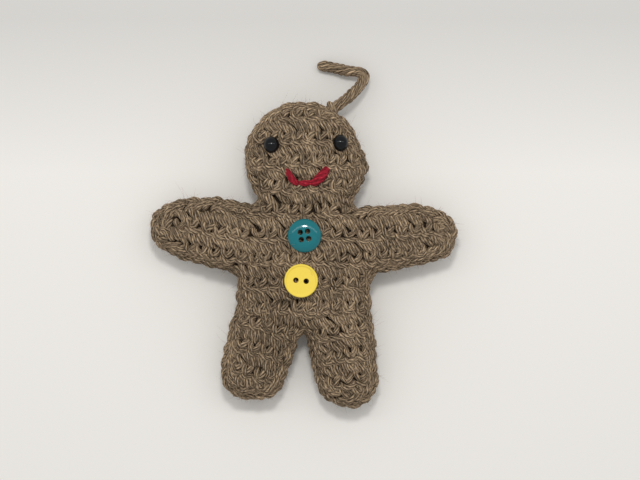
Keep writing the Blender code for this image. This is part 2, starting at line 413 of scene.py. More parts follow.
def smooth_paths(knots: Array, rings: int) -> Array:
    """Runs a Catmull-Rom curve through each strand's knots.

    Args:
        knots: strand, knot, xyz.
        rings: how many points to return on each strand.

    Returns:
        strand, ring, xyz.
    """
    first = 2.0 * knots[:, :1] - knots[:, 1:2]
    last = 2.0 * knots[:, -1:] - knots[:, -2:-1]
    padded = np.concatenate([first, knots, last], axis=1)
    spans = knots.shape[1] - 1
    where = np.linspace(0.0, spans - 1e-9, rings)
    span = where.astype(int)
    t = (where - span)[None, :, None]
    a, b, c, d = (padded[:, span + k] for k in range(4))
    return 0.5 * (2 * b + (c - a) * t + (2 * a - 5 * b + 4 * c - d) * t ** 2
                  + (3 * b - a - 3 * c + d) * t ** 3)


def unit(vectors: Array) -> Array:
    """Vectors of length 1 in the same directions."""
    return vectors / np.maximum(np.linalg.norm(vectors, axis=-1, keepdims=True), 1e-12)


@dataclass
class Spinner:
    """Spins plied yarn round paths, as closed tubes that follow their own plies."""

    plies: int = 6
    per_ply: int = 3
    pitch: float = 0.0135  # length of one whole turn of the plies
    hollow: float = 1.25  # how deep the valleys between plies are
    patches: int = 8
    flatten: float = 1.0  # thickness across the facing over width along it
    seed: int = SEED
    lowest: float = 0.00002

    def profile(self) -> Array:
        """The yarn's outline as a share of its radius, side by side."""
        sides = self.plies * self.per_ply
        away = np.abs((np.arange(sides) / self.per_ply + 0.5) % 1.0 - 0.5) * math.tau / self.plies
        return 1.0 - self.hollow * (1.0 - np.cos(away))

    def spin(self, strands: Strands) -> tuple[Array, Array, Array, Array]:
        """Turns strands into one mesh's arrays.

        Args:
            strands: the strands.

        Returns:
            Vertices, quads, end caps, and the UV place of each corner of the quads and caps.
        """
        rng = np.random.default_rng(self.seed)
        paths, radii = strands.paths, strands.radii
        count, rings = paths.shape[:2]
        sides = self.plies * self.per_ply
        along = unit(np.gradient(paths, axis=1))
        steps = np.linalg.norm(np.diff(paths, axis=1), axis=2)
        lengths = np.concatenate([np.zeros((count, 1)), np.cumsum(steps, axis=1)], axis=1)
        side = self._carried(along, strands.facing)
        other = np.cross(along, side)
        turn = rng.uniform(0.0, math.tau, (count, 1)) + lengths * (math.tau / self.pitch)
        angle = turn[:, :, None] + (np.arange(sides) / sides * math.tau)[None, None, :]
        reach = radii[:, :, None] * self.profile()[None, None, :]
        out = (np.cos(angle) * reach)[..., None] * side[:, :, None, :] * self.flatten
        out = out + (np.sin(angle) * reach)[..., None] * other[:, :, None, :]
        points = paths[:, :, None, :] + out
        points[..., 2] = np.maximum(points[..., 2], self.lowest)
        return points.reshape(-1, 3), *self._faces(count, rings, sides, rng)

    @staticmethod
    def _carried(along: Array, start: Array) -> Array:
        """A direction square to each path, carried along it without twisting.

        Args:
            along: strand, ring, xyz: the way each path runs.
            start: strand, xyz: the direction wanted at its start.

        Returns:
            strand, ring, xyz.
        """
        side = np.empty_like(along)
        now = start
        for i in range(along.shape[1]):
            now = unit(now - (now * along[:, i]).sum(axis=1, keepdims=True) * along[:, i])
            side[:, i] = now
        return side

    def _faces(self, count: int, rings: int, sides: int,
               rng: np.random.Generator) -> tuple[Array, Array, Array]:
        """The quads, caps and corner places of count tubes.

        Args:
            count: how many tubes.
            rings: rings of each.
            sides: sides of each.
            rng: picks each tube's patch of the map.

        Returns:
            Quads, caps, and the UV place of each corner.
        """
        ring, k = np.meshgrid(np.arange(rings - 1), np.arange(sides), indexing="ij")
        ring, k = ring.ravel(), k.ravel()
        after = (k + 1) % sides
        one = np.stack([ring * sides + k, ring * sides + after,
                        (ring + 1) * sides + after, (ring + 1) * sides + k], axis=1)
        starts = np.arange(count)[:, None, None] * (rings * sides)
        quads = (one[None] + starts).reshape(-1, 4)
        ends = np.stack([np.arange(sides)[::-1], (rings - 1) * sides + np.arange(sides)])
        caps = (ends[None] + starts).reshape(-1, sides)
        u = np.stack([k, k + 1, k + 1, k], axis=1) / sides
        v = np.stack([ring, ring, ring + 1, ring + 1], axis=1) / (rings - 1)
        round_cap = np.arange(sides) / sides * math.tau
        cap_u = np.tile(0.5 + 0.1 * np.cos(round_cap), (2, 1))
        cap_v = np.tile(0.5 + 0.1 * np.sin(round_cap), (2, 1))
        patch = rng.integers(0, self.patches, (count, 2))
        margin = 0.03
        quad_uv = np.stack([u, v], axis=2) * (1 - 2 * margin) + margin
        cap_uv = np.stack([cap_u, cap_v], axis=2)
        shift = patch[:, None, None, :]
        quad_uv = ((quad_uv[None] + shift) / self.patches).reshape(-1, 2)
        cap_uv = ((cap_uv[None] + shift) / self.patches).reshape(-1, 2)
        return quads, caps, np.concatenate([quad_uv, cap_uv])


def join_spun(parts: Sequence[tuple[Array, Array, Array, Array]]) -> tuple[Array, list, Array]:
    """Joins spun arrays into one vertex list, one list of face groups and one UV list.

    Args:
        parts: what spin returned for each.

    Returns:
        Vertices, groups of faces, and the UV place of each corner.
    """
    vertices, groups, places, start = [], [], [], 0
    for points, quads, caps, uv in parts:
        vertices.append(points)
        groups += [quads + start, caps + start]
        places.append(uv)
        start += len(points)
    return np.concatenate(vertices), groups, np.concatenate(places)


def mesh_object(name: str, vertices: Array, groups: Sequence[Array],
                uv: Optional[Array] = None) -> bpy.types.Object:
    """Makes a smooth mesh object from arrays.

    Args:
        name: the object's name.
        vertices: the points.
        groups: arrays of faces, each array with its own number of corners.
        uv: the place of each face corner, in the order of the groups.

    Returns:
        The object, linked to the scene.
    """
    mesh = bpy.data.meshes.new(name)
    corners = np.concatenate([g.ravel() for g in groups]).astype(np.int32)
    sizes = np.concatenate([np.full(len(g), g.shape[1]) for g in groups]).astype(np.int32)
    mesh.vertices.add(len(vertices))
    mesh.vertices.foreach_set("co", vertices.astype(np.float32).ravel())
    mesh.loops.add(len(corners))
    mesh.loops.foreach_set("vertex_index", corners)
    mesh.polygons.add(len(sizes))
    starts = np.concatenate([[0], np.cumsum(sizes)[:-1]]).astype(np.int32)
    mesh.polygons.foreach_set("loop_start", starts)
    mesh.polygons.foreach_set("loop_total", sizes)
    if uv is not None:
        layer = mesh.uv_layers.new(name=BAKE_MAP, do_init=False)
        layer.uv.foreach_set("vector", uv.astype(np.float32).ravel())
    mesh.update(calc_edges=True)
    mesh.validate()
    mesh.shade_smooth()
    made = bpy.data.objects.new(name, mesh)
    bpy.context.scene.collection.objects.link(made)
    return made


def finish_piece(piece: bpy.types.Object, material: bpy.types.Material, slot: str,
                 *nodes: str) -> bpy.types.Object:
    """Dresses a piece, rides it on the doll, hides the CAD nodes it stands for and logs its faces
    and slot.

    Args:
        piece: the piece.
        material: its finish.
        slot: the slot's name, which is only logged.
        nodes: the CAD nodes it stands for.

    Returns:
        The same piece.
    """
    piece.data.materials.clear()
    piece.data.materials.append(material)
    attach(piece, BODY)
    if nodes:
        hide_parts(*nodes)
    faces = len(piece.data.polygons)
    LOG.info("%s: %d faces, slot %s", piece.name, faces, slot)
    return piece


# ---- the doll's skin -----------------------------------------------------------------------


def evaluated(thing: bpy.types.Object) -> bpy.types.Mesh:
    """The mesh of an object as its modifiers leave it."""
    depsgraph = bpy.context.evaluated_depsgraph_get()
    return bpy.data.meshes.new_from_object(thing.evaluated_get(depsgraph))


def with_modifiers(mesh: bpy.types.Mesh, *steps: tuple[str, dict]) -> bpy.types.Mesh:
    """Runs modifiers on a mesh and returns the result.

    Args:
        mesh: the mesh to start from.
        steps: each modifier's type and settings.

    Returns:
        The new mesh.
    """
    thing = bpy.data.objects.new("work", mesh)
    bpy.context.scene.collection.objects.link(thing)
    for kind, settings in steps:
        modifier = thing.modifiers.new(kind, kind)
        for key, value in settings.items():
            setattr(modifier, key, value)
    bpy.context.view_layer.update()
    result = evaluated(thing)
    bpy.data.objects.remove(thing)
    return result


class Side(Enum):
    """Which way a face of the doll looks."""

    FRONT = 1.0
    BACK = -1.0


@dataclass
class Skin:
    """The smooth outside of the doll, which the tops of the stitches touch.

    It gives the surface over any point of the doll's plan, on either side, and the band round
    the doll's edge as a grid of points.
    """

    voxel: float = 0.0013
    cell: float = 0.0006
    extent: float = 0.072
    band_reach: float = 0.0085  # how far the band runs from the middle of the edge, each way
    band_step: float = 0.0005
    edge_step: float = 0.001
    edge_level: float = 0.44  # height of the middle of the edge, as a share of the body's
    bead_dimple: float = 0.0013  # how far the wool is pressed in round a bead
    bead_reach: float = 0.0048
    heights: dict = field(default_factory=dict)

    def __post_init__(self) -> None:
        """Reads the body's solid and samples it."""
        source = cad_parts["body"].data.copy()
        self.mesh = with_modifiers(
            source,
            ("REMESH", {"mode": "VOXEL", "voxel_size": self.voxel}),
            ("SMOOTH", {"factor": 0.5, "iterations": 10}),
        )
        bm = bmesh.new()
        bm.from_mesh(self.mesh)
        self.tree = BVHTree.FromBMesh(bm)
        self.outline = self._outline(bm)
        bm.free()
        for side in Side:
            self.heights[side] = self._heights(side)
        self.band = self._band()

    def _heights(self, side: Side) -> Array:
        """The height of one side over a grid of the plan, with the beads' sockets filled.

        Args:
            side: the side of the doll.

        Returns:
            Heights, by rows along Y.
        """
        ticks = np.arange(-self.extent, self.extent + self.cell / 2, self.cell)
        grid = np.full((len(ticks), len(ticks)), np.nan)
        down = Vector((0.0, 0.0, -side.value))
        for j, y in enumerate(ticks):
            for i, x in enumerate(ticks):
                hit = self.tree.ray_cast(Vector((x, y, side.value * 0.1)), down)[0]
                if hit is not None:
                    grid[j, i] = hit.z
        if side is Side.BACK:
            return self._filled(grid)
        x, y = np.meshgrid(ticks, ticks)
        dimples = np.zeros_like(grid)
        for name in ("eye_left", "eye_right"):
            low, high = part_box(name)
            middle = (low + high) / 2.0
            reach = (high.x - low.x) * 0.72
            away = np.hypot(x - middle.x, y - middle.y)
            grid[away < reach] = np.nan
            dimples += self.bead_dimple * np.clip(1.0 - (away / self.bead_reach) ** 2, 0.0, 1.0)
        return self._filled(grid) - dimples

    @staticmethod
    def _filled(grid: Array) -> Array:
        """The grid with its gaps filled smoothly from what is round them.

        Args:
            grid: heights, with nan where there are none.

        Returns:
            The whole grid.
        """
        empty = np.isnan(grid)
        filled = np.where(empty, np.nanmedian(grid), grid)
        for _ in range(120):
            around = (np.roll(filled, 1, 0) + np.roll(filled, -1, 0)
                      + np.roll(filled, 1, 1) + np.roll(filled, -1, 1)) / 4.0
            filled = np.where(empty, around, filled)
        for _ in range(3):
            filled = (filled * 4.0 + np.roll(filled, 1, 0) + np.roll(filled, -1, 0)
                      + np.roll(filled, 1, 1) + np.roll(filled, -1, 1)) / 8.0
        return filled

    def _outline(self, bm: bmesh.types.BMesh) -> Array:
        """The doll's edge, as even points round a cut at the height of its limbs.

        Args:
            bm: the skin.

        Returns:
            Points, anticlockwise from above.
        """
        low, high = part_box("body")
        level = Vector((0.0, 0.0, low.z + (high.z - low.z) * self.edge_level))
        sliced = bm.copy()
        cut = bmesh.ops.bisect_plane(
            sliced, geom=sliced.verts[:] + sliced.edges[:] + sliced.faces[:],
            plane_co=level, plane_no=Vector((0.0, 0.0, 1.0)), clear_inner=True, clear_outer=True,
        )
        edges = [e for e in cut["geom_cut"] if isinstance(e, bmesh.types.BMEdge)]
        links: dict = {}
        for edge in edges:
            a, b = edge.verts
            links.setdefault(a, []).append(b)
            links.setdefault(b, []).append(a)
        start = edges[0].verts[0]
        loop, last, now = [start.co[:]], None, start
        while True:
            ahead = [v for v in links[now] if v is not last]
            if not ahead or ahead[0] is start:
                break
            last, now = now, ahead[0]
            loop.append(now.co[:])
        sliced.free()
        points = np.array(loop)
        if self._area(points) < 0.0:
            points = points[::-1]
        return self._even(points, self.edge_step)

    @staticmethod
    def _area(points: Array) -> float:
        """The signed area of a closed line in the plan."""
        x, y = points[:, 0], points[:, 1]
        return float((x * np.roll(y, -1) - y * np.roll(x, -1)).sum() / 2.0)

    @staticmethod
    def _even(points: Array, step: float) -> Array:
        """A closed line with its points at even steps.

        Args:
            points: the line.
            step: about how far apart to put them.

        Returns:
            The new points.
        """
        closed = np.concatenate([points, points[:1]])
        lengths = np.concatenate([[0.0], np.cumsum(np.linalg.norm(np.diff(closed, axis=0), axis=1))])
        count = int(round(lengths[-1] / step))
        where = np.arange(count) * lengths[-1] / count
        return np.stack([np.interp(where, lengths, closed[:, i]) for i in range(3)], axis=1)

    def _band(self) -> tuple[Array, Array]:
        """Points and normals across the doll's edge: round it, and from its back to its front.

        Returns:
            Places and normals, each as round the edge, across it, xyz.
        """
        ahead = np.roll(self.outline, -3, 0) - np.roll(self.outline, 3, 0)
        ahead[:, 2] = 0.0
        ahead = unit(ahead)
        steps = int(round(self.band_reach / self.band_step))
        places = np.zeros((len(self.outline), 2 * steps + 1, 3))
        normals = np.zeros_like(places)
        for i, point in enumerate(self.outline):
            line = Vector(ahead[i])
            start, normal = self._on_skin(Vector(point))
            places[i, steps], normals[i, steps] = start, normal
            for way in (1, -1):
                here, facing = start, normal
                for j in range(1, steps + 1):
                    move = line.cross(facing).normalized() * -self.band_step * way
                    here, facing = self._on_skin(here + move)
                    places[i, steps + way * j] = here
                    normals[i, steps + way * j] = facing
        for _ in range(2):
            normals = unit(normals + np.roll(normals, 1, 0) + np.roll(normals, -1, 0))
        return places, normals

    def _on_skin(self, point: Vector) -> tuple[Vector, Vector]:
        """The nearest point of the skin, and its normal."""
        place, normal, _, _ = self.tree.find_nearest(point)
        return place, normal

    def over_plan(self, plan: Array, side: Side) -> tuple[Array, Array]:
        """The skin over points of the plan.

        Args:
            plan: any shape, then xy.
            side: the side of the doll.

        Returns:
            The points and their outward normals.
        """
        grid = self.heights[side]
        at = (plan + self.extent) / self.cell
        at = np.clip(at, 0.0, len(grid) - 1.001)
        low = at.astype(int)
        share = at - low
        i, j = low[..., 0], low[..., 1]
        fx, fy = share[..., 0], share[..., 1]
        a, b, c, d = grid[j, i], grid[j, i + 1], grid[j + 1, i], grid[j + 1, i + 1]
        z = (a * (1 - fx) + b * fx) * (1 - fy) + (c * (1 - fx) + d * fx) * fy
        dx = ((b - a) * (1 - fy) + (d - c) * fy) / self.cell
        dy = ((c - a) * (1 - fx) + (d - b) * fx) / self.cell
        normal = unit(np.stack([-dx, -dy, np.ones_like(z)], axis=-1)) * side.value
        return np.concatenate([plan, z[..., None]], axis=-1), normal

    def over_band(self, along: Array, across: Array) -> tuple[Array, Array]:
        """The skin on the band round the edge.

        Args:
            along: how far round the outline, in steps of the outline's points.
            across: how far from the middle of the edge towards the front, in metres.

        Returns:
            The points and their outward normals.
        """
        places, normals = self.band
        middle = (places.shape[1] - 1) // 2
        j = np.clip(across / self.band_step + middle, 0.0, places.shape[1] - 1.001)
        i0, j0 = np.floor(along).astype(int), j.astype(int)
        fi, fj = (along - i0)[..., None], (j - j0)[..., None]
        i0 = i0 % len(places)
        i1 = (i0 + 1) % len(places)

        def blend(grid: Array) -> Array:
            """A grid read between its points."""
            low = grid[i0, j0] * (1 - fi) + grid[i1, j0] * fi
            high = grid[i0, j0 + 1] * (1 - fi) + grid[i1, j0 + 1] * fi
            return low * (1 - fj) + high * fj

        return blend(places), unit(blend(normals))

    def rim(self, across: float) -> Array:
        """The closed line on the band at one distance from the middle of the edge."""
        along = np.arange(len(self.outline), dtype=float)
        return self.over_band(along, np.full(len(along), across))[0]


def inside(polygon: Array, points: Array) -> Array:
    """Whether each plan point lies in a closed plan line.

    Args:
        polygon: the closed line.
        points: point, xy.

    Returns:
        One truth for each point.
    """
    x, y = points[:, 0][:, None], points[:, 1][:, None]
    ax, ay = polygon[:, 0][None], polygon[:, 1][None]
    bx, by = np.roll(polygon[:, 0], -1)[None], np.roll(polygon[:, 1], -1)[None]
    spans = (ay > y) != (by > y)
    slope = (bx - ax) * (y - ay) / np.where(by == ay, 1e-12, by - ay) + ax
    return (spans & (x < slope)).sum(axis=1) % 2 == 1


def kept_inside(polygon: Array, plan: Array) -> Array:
    """Plan points, with those outside a closed line moved to its nearest point.

    Args:
        polygon: the closed line.
        plan: any shape, then xy.

    Returns:
        The points, in the same shape.
    """
    points = plan.reshape(-1, 2).copy()
    out = np.flatnonzero(~inside(polygon, points))
    if len(out):
        gaps = np.linalg.norm(points[out][:, None] - polygon[None], axis=2)
        points[out] = polygon[gaps.argmin(axis=1)]
    return points.reshape(plan.shape)


# ---- stitches ------------------------------------------------------------------------------


class StitchKind(Enum):
    """What a row of single crochet shows: its legs, its bumps, or the seam's chain."""

    LEGS = "legs"
    BUMPS = "bumps"
    SEAM = "seam"


# Each strand of a stitch is knots of (share across the stitch, share up the row, height in yarn
# radii over the deepest visible lie), then its thickness. Both ends dive out of sight.
STITCHES = {
    StitchKind.LEGS: [
        ([(-0.12, 1.08, -0.9), (0.06, 0.90, 0.45), (0.32, 0.62, 1.0), (0.64, 0.32, 1.05),
          (0.90, 0.08, 0.45), (1.04, -0.08, -0.9)], 1.0),
        ([(0.36, 1.10, -0.9), (0.52, 0.92, 0.35), (0.78, 0.66, 0.75), (1.06, 0.38, 0.65),
          (1.30, 0.12, 0.1), (1.44, -0.04, -0.9)], 0.96),
    ],
    StitchKind.BUMPS: [
        ([(0.22, 1.14, -0.9), (0.17, 0.92, 0.45), (0.23, 0.66, 1.0), (0.36, 0.46, 0.95),
          (0.50, 0.36, 0.55), (0.64, 0.46, 0.95), (0.78, 0.68, 1.05), (0.84, 0.92, 0.5),
          (0.78, 1.14, -0.9)], 0.98),
        ([(-0.12, 0.34, -0.9), (0.02, 0.17, 0.35), (0.27, 0.04, 0.95), (0.56, 0.0, 1.1),
          (0.84, 0.08, 0.75), (1.02, 0.24, 0.1), (1.10, 0.38, -0.9)], 1.0),
    ],
    StitchKind.SEAM: [
        ([(-0.34, 0.40, -0.9), (-0.08, 0.54, 0.4), (0.28, 0.76, 1.0), (0.64, 0.78, 0.95),
          (0.96, 0.60, 0.4), (1.20, 0.46, -0.9)], 1.05),
        ([(-0.34, 0.60, -0.9), (-0.08, 0.46, 0.4), (0.28, 0.24, 1.0), (0.64, 0.22, 0.95),
          (0.96, 0.40, 0.4), (1.20, 0.54, -0.9)], 1.05),
    ],
}


@dataclass
class Crochet:
    """The doll's crochet: rows over the front and back, and three rows round the edge."""

    skin: Skin
    radius: float = 0.00131
    width: float = 0.0055
    height: float = 0.00512
    top_row: float = 0.0572  # where the first row starts, up the head
    first_row: int = -1  # rows above the first whole one, where the head narrows
    trunk_rows: int = 16
    arm_start: float = 0.024  # beyond this from the middle the rows follow the arms
    arm_slopes: tuple = (0.156, 0.083)
    leg_rows: int = 9
    head_foot: float = 0.0205  # rows above this belong to the head
    tuck: float = 0.0011  # how far rows run in under the band round the edge
    bridge: float = 1.8  # gaps in a row under this many stitches are worked across
    edge_rows: tuple = (-0.0078, -0.0026, 0.0026, 0.0078)
    ring_step: float = 0.00085
    jitter: float = 0.055
    sunk: float = 1.82  # yarn radii from the skin down to the deepest visible lie
    wander: float = 0.07  # how far rows and stitches drift from even places, as a share
    strands: list = field(default_factory=list)

    def strands_for(self, kind: StitchKind, lay: Callable[[Array], tuple[Array, Array]],
                    count: int, rng: np.random.Generator, mirror: bool) -> list[Strands]:
        """The strands of a row of stitches.

        Args:
            kind: what the row shows.
            lay: places (across in stitches, up in rows) on the skin and gives normals.
            count: how many stitches the row has.
            rng: for the unevenness of hand work.
            mirror: whether the row was worked the other way.

        Returns:
            One Strands for each strand of the kind.
        """
        made = []
        drift = rng.normal(0.0, self.wander, count)
        lift = rng.normal(0.0, self.wander, count)
        for knots, thickness in STITCHES[kind]:
            shape = np.array(knots)[None].repeat(count, axis=0)
            if mirror:
                shape[..., 0] = 1.0 - shape[..., 0]
            shape[..., 0] += (np.arange(count) + drift)[:, None]
            shape[..., 1] += lift[:, None]
            shape[..., :2] += rng.normal(0.0, self.jitter, shape[..., :2].shape) * 0.6
            shape[..., :2] += rng.normal(0.0, self.jitter, (count, 1, 2)) * 0.7
            shape[..., 2] += rng.normal(0.0, 0.17, shape[..., 2].shape)
            shape[..., 2] += rng.normal(0.0, 0.12, (count, 1))
            place, normal = lay(shape[..., :2])
            depth = self.radius * (self.sunk - shape[..., 2])[..., None]
            knots_at = place - normal * depth
            rings = max(int(self._length(knots_at) / self.ring_step), 7)
            paths = smooth_paths(knots_at, rings)
            thick = self.radius * thickness * rng.normal(1.0, 0.05, (count, 1))
            ends = np.ones(rings)
            ends[[0, -1]] = 0.4
            ends[[1, -2]] = 0.85
            facing = normal[:, normal.shape[1] // 2]
            made.append(Strands(paths, thick * ends[None], facing))
        return made

    @staticmethod
    def _length(knots: Array) -> float:
        """The mean length of strands through these knots."""
        return float(np.linalg.norm(np.diff(knots, axis=1), axis=2).sum(axis=1).mean())

    def tilt(self, x: Array) -> Array:
        """How far the rows rise along the arms.

        Args:
            x: how far from the middle, across the doll.

        Returns:
            The rise at each place.
        """
        left, right = self.arm_slopes
        return np.maximum(-x - self.arm_start, 0.0) * left \
            + np.maximum(x - self.arm_start, 0.0) * right

    def spans(self, line: Callable[[Array], Array], keep: Callable[[Array], Array],
              polygon: Array) -> list[tuple[float, float]]:
        """The stretches of a row's middle line that lie inside the band's inner rim.

        Args:
            line: gives the plan points of the row at places across it.
            keep: says which of them are the row's own.
            polygon: the band's inner rim.

        Returns:
            The start and the end of each stretch.
        """
        ticks = np.arange(-0.068, 0.068, 0.0004)
        points = line(ticks)
        good = inside(polygon, points) & keep(points)
        edges = np.flatnonzero(np.diff(np.concatenate([[0], good.astype(int), [0]])))
        found: list = []
        for a, b in zip(ticks[edges[::2]], ticks[edges[1::2] - 1]):
            if found and a - found[-1][1] < self.width * self.bridge:
                found[-1] = (found[-1][0], b)
            else:
                found.append((a, b))
        return [(a - self.tuck, b + self.tuck) for a, b in found if b - a > self.width * 0.5]

    def panel_rows(self, side: Side, rng: np.random.Generator) -> list[tuple[str, list[Strands]]]:
        """The rows over one side, each with the name of its part of the doll.

        Args:
            side: the side of the doll.
            rng: for the unevenness of hand work.

        Returns:
            Each row's part of the doll, and its strands.
        """
        reach = self.edge_rows[-1] * side.value
        polygon = self.skin.rim(reach)[:, :2]
        made = []
        hip = self.top_row - self.height * self.trunk_rows
        for k in range(self.first_row, self.trunk_rows):
            low = self.top_row - self.height * (k + 1)

            def place(p: Array, q: Array, low: float = low) -> Array:
                """Plan points from places across and up the row."""
                return np.stack([p, low + q * self.height + self.tilt(p)], axis=-1)

            part = "head" if low > self.head_foot else "trunk"
            made += self._row(part, k, place, lambda xy: xy[:, 1] > hip - 1e-9, polygon, side, rng)
        for name, (foot, axis) in self.legs().items():
            across = np.array([axis[1], -axis[0]])
            for k in range(self.leg_rows):

                def place(p: Array, q: Array, k: int = k, foot: Array = foot,
                          across: Array = across, axis: Array = axis) -> Array:
                    """Plan points from places across and up the row."""
                    up = (q + k) * self.height
                    return foot + p[..., None] * across + up[..., None] * axis

                def keep(xy: Array, sign: float = float(np.sign(foot[0]))) -> Array:
                    """Whether points are below the hip, on the own side."""
                    return (xy[:, 1] < hip + self.height / 2.0) & (xy[:, 0] * sign > 0.0)

                made += self._row(name, k, place, keep, polygon, side, rng)
        return made

    def legs(self) -> dict:
        """Each leg's foot and the direction from it up the leg, in the plan.

        Returns:
            Foot and direction, by the leg's name.
        """
        low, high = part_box("body")
        foot_left = np.array([-0.0222, low.y + 0.0075])
        foot_right = np.array([0.0187, low.y + 0.0045])
        axis_left = unit(np.array([0.263, 0.965]))
        axis_right = unit(np.array([-0.137, 0.991]))
        return {"leg_left": (foot_left, axis_left), "leg_right": (foot_right, axis_right)}

    def _row(self, part: str, k: int, place: Callable, keep: Callable, polygon: Array, side: Side,
             rng: np.random.Generator) -> list[tuple[str, list[Strands]]]:
        """One row, in as many stretches as the doll has there.

        Args:
            part: the part of the doll it is on.
            k: its number, which sets its kind.
            place: gives plan points from places across and up the row.
            keep: says which points are the row's own.
            polygon: the band's inner rim.
            side: the side of the doll.
            rng: for the unevenness of hand work.

        Returns:
            The part and the strands of each stretch.
        """
        kind = StitchKind.LEGS if k % 2 == 0 else StitchKind.BUMPS
        if side is Side.BACK:
            kind = StitchKind.BUMPS if kind is StitchKind.LEGS else StitchKind.LEGS

        def line(p: Array) -> Array:
            """The row's middle line."""
            return place(p, np.full_like(p, 0.5))

        made = []
        for start, end in self.spans(line, keep, polygon):
            count = max(int(round((end - start) / self.width)), 1)
            wide = (end - start) / count

            def lay(at: Array, start: float = start, wide: float = wide) -> tuple[Array, Array]:
                """The skin at places in the row."""
                plan = place(start + at[..., 0] * wide, at[..., 1])
                return self.skin.over_plan(kept_inside(polygon, plan), side)

            mirror = side is Side.BACK
            made.append((part, self.strands_for(kind, lay, count, rng, mirror)))
        return made

    def band_rows(self, rng: np.random.Generator) -> list[tuple[str, list[Strands]]]:
        """The three rows round the edge, each as one stretch for the edge.

        Args:
            rng: for the unevenness of hand work.

        Returns:
            The part and the strands of each row.
        """
        made = []
        for row, (low, high) in enumerate(zip(self.edge_rows, self.edge_rows[1:])):
            line = self.skin.rim((low + high) / 2.0)
            steps = np.linalg.norm(np.roll(line, -1, 0) - line, axis=1)
            lengths = np.concatenate([[0.0], np.cumsum(steps)])
            count = int(round(lengths[-1] / self.width))
            kind = StitchKind.SEAM if row == 1 else StitchKind.LEGS

            def lay(at: Array, low: float = low, high: float = high, lengths: Array = lengths,
                    count: int = count) -> tuple[Array, Array]:
                """The skin at places in the row."""
                want = at[..., 0] * lengths[-1] / count
                turns = np.floor(want / lengths[-1])
                along = np.interp(want - turns * lengths[-1], lengths, np.arange(len(lengths)))
                along = along + turns * (len(lengths) - 1)
                return self.skin.over_band(along, low + at[..., 1] * (high - low))

            strands = self.strands_for(kind, lay, count, rng, row == 2)
            made += [("edge", strands)]
        return made

    def build(self, wool: bpy.types.Material) -> None:
        """Spins every row and makes the pieces.

        Args:
            wool: the yarn's finish.
        """
        rng = np.random.default_rng(SEED)
        groups: dict[str, list[Strands]] = {}
        for side in Side:
            for part, strands in self.panel_rows(side, rng):
                label = "front" if side is Side.FRONT else "back"
                groups.setdefault(f"{label}_{part}", []).extend(strands)
        for part, strands in self.band_rows(rng):
            for i, one in enumerate(strands):
                half = one.count() // 2
                for name, cut in (("left", slice(0, half)), ("right", slice(half, None))):
                    piece = Strands(one.paths[cut], one.radii[cut], one.facing[cut])
                    groups.setdefault(f"{part}_{name}", []).append(piece)
        for name, strands in groups.items():
            spinner = Spinner(seed=SEED + len(name))
            spun = [spinner.spin(one) for one in strands]
            piece = mesh_object(f"wool_{name}", *join_spun(spun))
            finish_piece(piece, wool, "wool", "body")
            self.strands += strands


